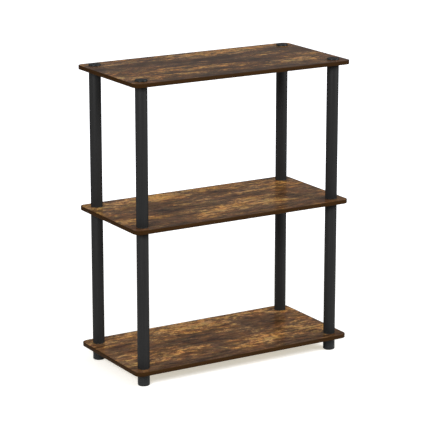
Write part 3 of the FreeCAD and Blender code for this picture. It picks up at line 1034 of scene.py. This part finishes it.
@dataclass
class Post:
    """One post: a foot, two tubes with their inserts, and the cap on top."""

    corner: Corner
    blacks: Blacks
    tube_wall: float = 1.6 * MM
    tube_edge: float = 0.25 * MM
    stud_radius: float = 6.0 * MM
    stud_chamfer: float = 1.2 * MM
    socket_radius: float = 6.15 * MM
    socket_depth: float = 15.5 * MM
    socket_thread_depth: float = 0.35 * MM
    boss_wall: float = 2.0 * MM
    collar_thickness: float = 1.8 * MM
    collar_edge: float = 0.3 * MM
    fin_thickness: float = 2.0 * MM
    fin_lead: float = 2.0 * MM
    fin_taper: float = 0.8 * MM
    fin_gap: float = 0.1 * MM
    fin_length: float = 20.0 * MM
    foot_wall: float = 2.2 * MM
    foot_sole: float = 3.5 * MM
    foot_round: float = 3.0 * MM
    web_thickness: float = 1.6 * MM
    web_drop: float = 1.0 * MM
    cap_round: float = 1.2 * MM
    cap_dish: float = 0.35 * MM
    cap_rim: float = 1.8 * MM
    foot_steps: int = 8
    edge_steps: int = 3
    cap_steps: int = 6
    lathe: Lathe = field(init=False)
    tube_radius: float = field(init=False)

    def __post_init__(self) -> None:
        """Find the post's axis and the tube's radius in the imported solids."""
        low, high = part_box(self._node(Stage.LOWER, "tube"))
        self.lathe = Lathe((low.x + high.x) / 2, (low.y + high.y) / 2)
        self.tube_radius = (high.x - low.x) / 2

    def _node(self, stage: Stage, what: str) -> str:
        """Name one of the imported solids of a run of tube."""
        return f"{stage.value}_{what}_{self.corner.value}"

    def build(self) -> Iterable[bpy.types.Object]:
        """Make the post's pieces.

        Returns:
            The pieces, one by one, from the floor up.
        """
        yield self._foot()
        for stage in Stage:
            yield self._stud_plug(stage)
            yield self._tube(stage)
            yield self._socket(stage)
        yield self._cap()

    def _finish(
        self, skin: Skin, node: str, material: bpy.types.Material
    ) -> bpy.types.Object:
        """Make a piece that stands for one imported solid."""
        return stand_in(skin.piece(f"{node}_fine", material), node)

    def _stud(self, low: float, high: float) -> tuple[list[tuple[float, float]], Thread]:
        """Give a stud's section from its end up to the face that it grows from.

        Args:
            low: The height of the stud's end.
            high: The height of the face.

        Returns:
            The section, from the axis outwards and up, and the thread on it.
        """
        thread = Thread(low + self.stud_chamfer, high - self.stud_chamfer)
        section = [(0.0, low), (self.stud_radius - self.stud_chamfer, low)]
        section.extend((self.stud_radius, height) for height in thread.heights())
        section.append((self.stud_radius, high))
        return section, thread

    def _bore(self, mouth: float) -> tuple[list[tuple[float, float]], Thread]:
        """Give a socket's bore from its floor up to its mouth.

        Args:
            mouth: The height of the mouth.

        Returns:
            The section, from the axis outwards and up, and the thread in it.
        """
        floor = mouth - self.socket_depth
        thread = Thread(floor, mouth, depth=-self.socket_thread_depth)
        section = [(0.0, floor)]
        section.extend((self.socket_radius, height) for height in thread.heights())
        return section, thread

    def _fins(self, skin: Skin, base: float, way: int) -> None:
        """Add the two crossed plates that grip the tube's bore.

        Args:
            skin: Where the faces go.
            base: The height of the collar's inner face.
            way: 1 if the plates rise from it, or -1 if they hang.
        """
        reach = self.tube_radius - self.tube_wall - self.fin_gap
        end = base + way * self.fin_length
        shoulder = end - way * self.fin_lead
        tip = reach - self.fin_taper
        outline = [
            (-reach, base),
            (reach, base),
            (reach, shoulder),
            (tip, end),
            (-tip, end),
            (-reach, shoulder),
        ]
        for degrees in (0, 90):
            self.lathe.slab(skin, outline, self.fin_thickness, degrees)

    def _foot(self) -> bpy.types.Object:
        """Make the foot: a cup with a rounded sole, a threaded boss and four webs.

        Returns:
            The foot.
        """
        node = f"foot_{self.corner.value}"
        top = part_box(node)[1].z
        inner = self.tube_radius - self.foot_wall
        boss = self.socket_radius + self.boss_wall
        cup = eased(
            [
                (0.0, 0.0),
                (self.tube_radius, 0.0, self.foot_round),
                (self.tube_radius, top, self.collar_edge),
                (inner, top, self.collar_edge),
                (inner, self.foot_sole),
                (boss, self.foot_sole),
                (boss, top, self.collar_edge),
                (self.socket_radius, top),
            ],
            steps=self.foot_steps,
        )
        bore, thread = self._bore(top)
        skin = Skin()
        self.lathe.turn(skin, cup)
        self.lathe.turn(skin, bore, thread=thread)
        root, rim = boss - self.boss_wall / 2, inner + self.foot_wall / 2
        low, high = self.foot_sole / 2, top - self.web_drop
        web = [(root, low), (rim, low), (rim, high), (root, high)]
        for degrees in (0, 90, 180, 270):
            self.lathe.slab(skin, web, self.web_thickness, degrees)
        return self._finish(skin, node, self.blacks.foot)

    def _tube(self, stage: Stage) -> bpy.types.Object:
        """Make one run of tube with softened ends.

        Args:
            stage: Which run.

        Returns:
            The tube.
        """
        node = self._node(stage, "tube")
        low, high = (corner.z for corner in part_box(node))
        inner = self.tube_radius - self.tube_wall
        section = eased(
            [
                (self.tube_radius, low, self.tube_edge),
                (self.tube_radius, high, self.tube_edge),
                (inner, high, self.tube_edge),
                (inner, low, self.tube_edge),
            ],
            steps=self.edge_steps,
            closed=True,
        )
        skin = Skin()
        self.lathe.turn(skin, section, closed=True)
        return self._finish(skin, node, self.blacks.tube)

    def _stud_plug(self, stage: Stage) -> bpy.types.Object:
        """Make the plug in a tube's foot end, with its threaded stud below.

        Args:
            stage: Which run of tube the plug is in.

        Returns:
            The plug.
        """
        node = self._node(stage, "stud_plug")
        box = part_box(node)
        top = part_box(self._node(stage, "tube"))[0].z
        seat = top - self.collar_thickness
        collar = (box[1].x - box[0].x) / 2
        stud, thread = self._stud(box[0].z, seat)
        head = eased(
            [
                (self.stud_radius, seat),
                (collar, seat, self.collar_edge),
                (collar, top, self.collar_edge),
                (0.0, top),
            ],
            steps=self.edge_steps,
        )
        skin = Skin()
        self.lathe.turn(skin, stud + head[1:], thread=thread)
        self._fins(skin, top, 1)
        return self._finish(skin, node, self.blacks.insert)

    def _socket(self, stage: Stage) -> bpy.types.Object:
        """Make the threaded socket in a tube's top end.

        Args:
            stage: Which run of tube the socket is in.

        Returns:
            The socket.
        """
        node = self._node(stage, "socket")
        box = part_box(node)
        mouth = box[1].z
        under = mouth - self.collar_thickness
        collar = (box[1].x - box[0].x) / 2
        boss = self.socket_radius + self.boss_wall
        boss_end = under - self.fin_length + self.fin_lead
        bore, thread = self._bore(mouth)
        body = eased(
            [
                (self.socket_radius, mouth),
                (collar, mouth, self.collar_edge),
                (collar, under, self.collar_edge),
                (boss, under),
                (boss, boss_end),
                (0.0, boss_end),
            ],
            steps=self.edge_steps,
        )
        skin = Skin()
        self.lathe.turn(skin, bore, thread=thread)
        self.lathe.turn(skin, body)
        self._fins(skin, under, -1)
        return self._finish(skin, node, self.blacks.insert)

    def _cap(self) -> bpy.types.Object:
        """Make the low round cap, slightly dished, with its threaded stud below.

        Returns:
            The cap.
        """
        node = f"top_cap_{self.corner.value}"
        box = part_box(node)
        top = box[1].z
        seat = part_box(f"{Level.TOP.value}_board")[1].z
        radius = (box[1].x - box[0].x) / 2
        stud, thread = self._stud(box[0].z, seat)
        head = eased(
            [
                (self.stud_radius, seat),
                (radius, seat, self.collar_edge),
                (radius, top, self.cap_round),
                (radius - self.cap_rim, top, self.cap_dish),
                (radius - 2 * self.cap_rim, top - self.cap_dish, self.cap_dish),
                (0.0, top - self.cap_dish),
            ],
            steps=self.cap_steps,
        )
        skin = Skin()
        self.lathe.turn(skin, stud + head[1:], thread=thread)
        return self._finish(skin, node, self.blacks.cap)


def dress(node: bpy.types.Object, material: bpy.types.Material) -> None:
    """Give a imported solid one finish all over."""
    node.data.materials.clear()
    node.data.materials.append(material)


def stand_in(piece: bpy.types.Object, node: str) -> bpy.types.Object:
    """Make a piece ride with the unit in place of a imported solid.

    Args:
        piece: The piece.
        node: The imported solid's node.

    Returns:
        The piece.
    """
    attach(piece, ROOT)
    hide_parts(node)
    return piece


@dataclass(frozen=True)
class SoftBox:
    """A large soft white lamp: where it stands, what it faces, its size in metres and its watts."""

    name: str
    place: Triple
    target: Triple
    size: tuple[float, float]
    power: float

    def light(self) -> bpy.types.Object:
        """Add the lamp to the scene, out of the camera's sight.

        Returns:
            The lamp.
        """
        data = bpy.data.lights.new(self.name, "AREA")
        data.shape = "RECTANGLE"
        data.size, data.size_y = self.size
        data.energy = self.power
        lamp = bpy.data.objects.new(self.name, data)
        lamp.location = self.place
        aim = Vector(self.target) - Vector(self.place)
        lamp.rotation_euler = aim.to_track_quat("-Z", "Y").to_euler()
        lamp.visible_camera = False
        bpy.context.scene.collection.objects.link(lamp)
        return lamp


@dataclass
class Studio:
    """The floor, the lamps and the camera that stand round the unit.

    The camera sees a painted floor that also glows, up to white away from the unit. Other rays
    meet a grey floor instead, whose two greys set how much light it throws back near the unit and
    far from it. Each reach gives the distances from the unit's middle between which that changes.
    """

    floor_half_width: float = 14.0
    floor_paint: Triple = (0.80, 0.83, 0.90)
    floor_glow: Triple = (0.557, 0.525, 0.444)
    glow_reach: tuple[float, float] = (0.6, 2.0)
    bounced_floor: tuple[float, float] = (0.74, 0.2)
    bounce_reach: tuple[float, float] = (0.5, 2.2)
    sky: float = 0.37
    mirrored_sky: float = 0.2
    lamps: tuple[SoftBox, ...] = (
        SoftBox("front_left", (-3.0, -2.3, 2.0), (0.0, 0.0, 0.4), (1.25, 1.25), 128.0),
        SoftBox("front_right", (2.6, -2.4, 2.0), (0.0, 0.0, 0.4), (1.25, 1.25), 119.0),
        SoftBox("left_strip", (-2.6, 1.4, 1.0), (0.0, 0.0, 0.4), (0.8, 1.8), 9.0),
    )
    camera_place: Triple = (-2.5325, -4.2063, 1.6489)
    camera_turn_degrees: float = -31.058
    camera_pitch_degrees: float = 14.737
    focal_pixels: float = 2069.0
    sensor_width: float = 36.0

    def build(self) -> None:
        """Set up the whole studio."""
        self._floor()
        self._sky()
        for lamp in self.lamps:
            lamp.light()
        self._camera()
        bpy.context.scene.view_settings.view_transform = "Standard"

    def _floor(self) -> None:
        """Lay a pale floor, which is clear when it is seen from below."""
        edge = self.floor_half_width
        corners = ((-edge, -edge), (edge, -edge), (edge, edge), (-edge, edge))
        skin = Skin()
        skin.close([Vector((x, y, 0)) for x, y in corners])
        material, bench = new_material("pale_floor")
        rays = bench.node("ShaderNodeLightPath").outputs
        paint = bench.node("ShaderNodeBsdfDiffuse", {}, {"Color": self.floor_paint})
        away = bench.math("SQRT", bench.length_squared(bench.place()))
        shade = bench.blend(away.rise(*self.glow_reach), self.floor_glow, WHITE)
        glow = bench.node("ShaderNodeEmission", {}, {"Color": shade})
        lit = bench.node("ShaderNodeAddShader", {}, {0: paint.outputs[0], 1: glow.outputs[0]})
        near, far = self.bounced_floor
        bounce = bench.blend(away.rise(*self.bounce_reach), (near,) * 3, (far,) * 3)
        dim = bench.node("ShaderNodeBsdfDiffuse", {}, {"Color": bounce})
        shades = {0: rays["Is Camera Ray"], 1: dim.outputs[0], 2: lit.outputs[0]}
        upper = bench.node("ShaderNodeMixShader", {}, shades)
        clear = bench.node("ShaderNodeBsdfTransparent")
        back = bench.node("ShaderNodeNewGeometry").outputs["Backfacing"]
        sides = {0: back, 1: upper.outputs[0], 2: clear.outputs[0]}
        both = bench.node("ShaderNodeMixShader", {}, sides)
        bench.node("ShaderNodeOutputMaterial", {}, {"Surface": both.outputs[0]})
        floor = skin.piece("floor", material)

    def _sky(self) -> None:
        """Surround the unit with white, dimmer where it is mirrored."""
        world = bpy.data.worlds.new("studio")
        world.use_nodes = True
        bpy.context.scene.world = world
        bench = Bench(world.node_tree)
        rays = bench.node("ShaderNodeLightPath").outputs
        dimmed = Signal(bench, rays["Is Glossy Ray"]) * (self.mirrored_sky - self.sky) + self.sky
        strength = bench.math("MAXIMUM", dimmed, Signal(bench, rays["Is Camera Ray"]))
        shader = bench.node("ShaderNodeBackground", {}, {"Color": WHITE, "Strength": strength})
        bench.node("ShaderNodeOutputWorld", {}, {"Surface": shader.outputs[0]})

    def _camera(self) -> None:
        """Stand the camera where the photograph was taken from."""
        data = bpy.data.cameras.new("camera")
        data.sensor_width = self.sensor_width
        data.lens = self.focal_pixels / PHOTO_WIDTH * data.sensor_width
        camera = bpy.data.objects.new("camera", data)
        camera.location = self.camera_place
        pitch = math.radians(90 - self.camera_pitch_degrees)
        camera.rotation_euler = (pitch, 0.0, math.radians(self.camera_turn_degrees))
        bpy.context.scene.collection.objects.link(camera)
        bpy.context.scene.camera = camera


def build_unit() -> None:
    """Build every shelf and post, and report each piece."""
    low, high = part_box("bottom_edging")
    length, depth = high.x - low.x, high.y - low.y
    brown = EdgeBand().material("brown_edging")
    for level in Level:
        rustic = RusticPrint(length, depth, SHEET_SHIFT_SHARES[level], PRINT_AND_SHADE_LIFTS[level])
        shelf = Shelf(level, rustic.material(f"rustic_{level.value}"), brown)
        report(shelf.build())
    blacks = Blacks(
        tube=SatinBlack().material("satin_black_tube"),
        foot=FOOT_BLACK.material("moulded_foot"),
        insert=INSERT_BLACK.material("moulded_insert"),
        cap=CAP_BLACK.material("moulded_cap"),
    )
    for corner in Corner:
        report(Post(corner, blacks).build())


def report(pieces: Iterable[bpy.types.Object]) -> None:
    """Log the name and the number of faces of each piece."""
    for piece in pieces:
        log.info("%s: %d faces", piece.name, len(piece.data.polygons))


def main() -> None:
    """Build the unit and the studio round it."""
    logging.basicConfig(level=logging.INFO, format="%(message)s")
    build_unit()
    Studio().build()


if __name__ == "__main__":
    main()
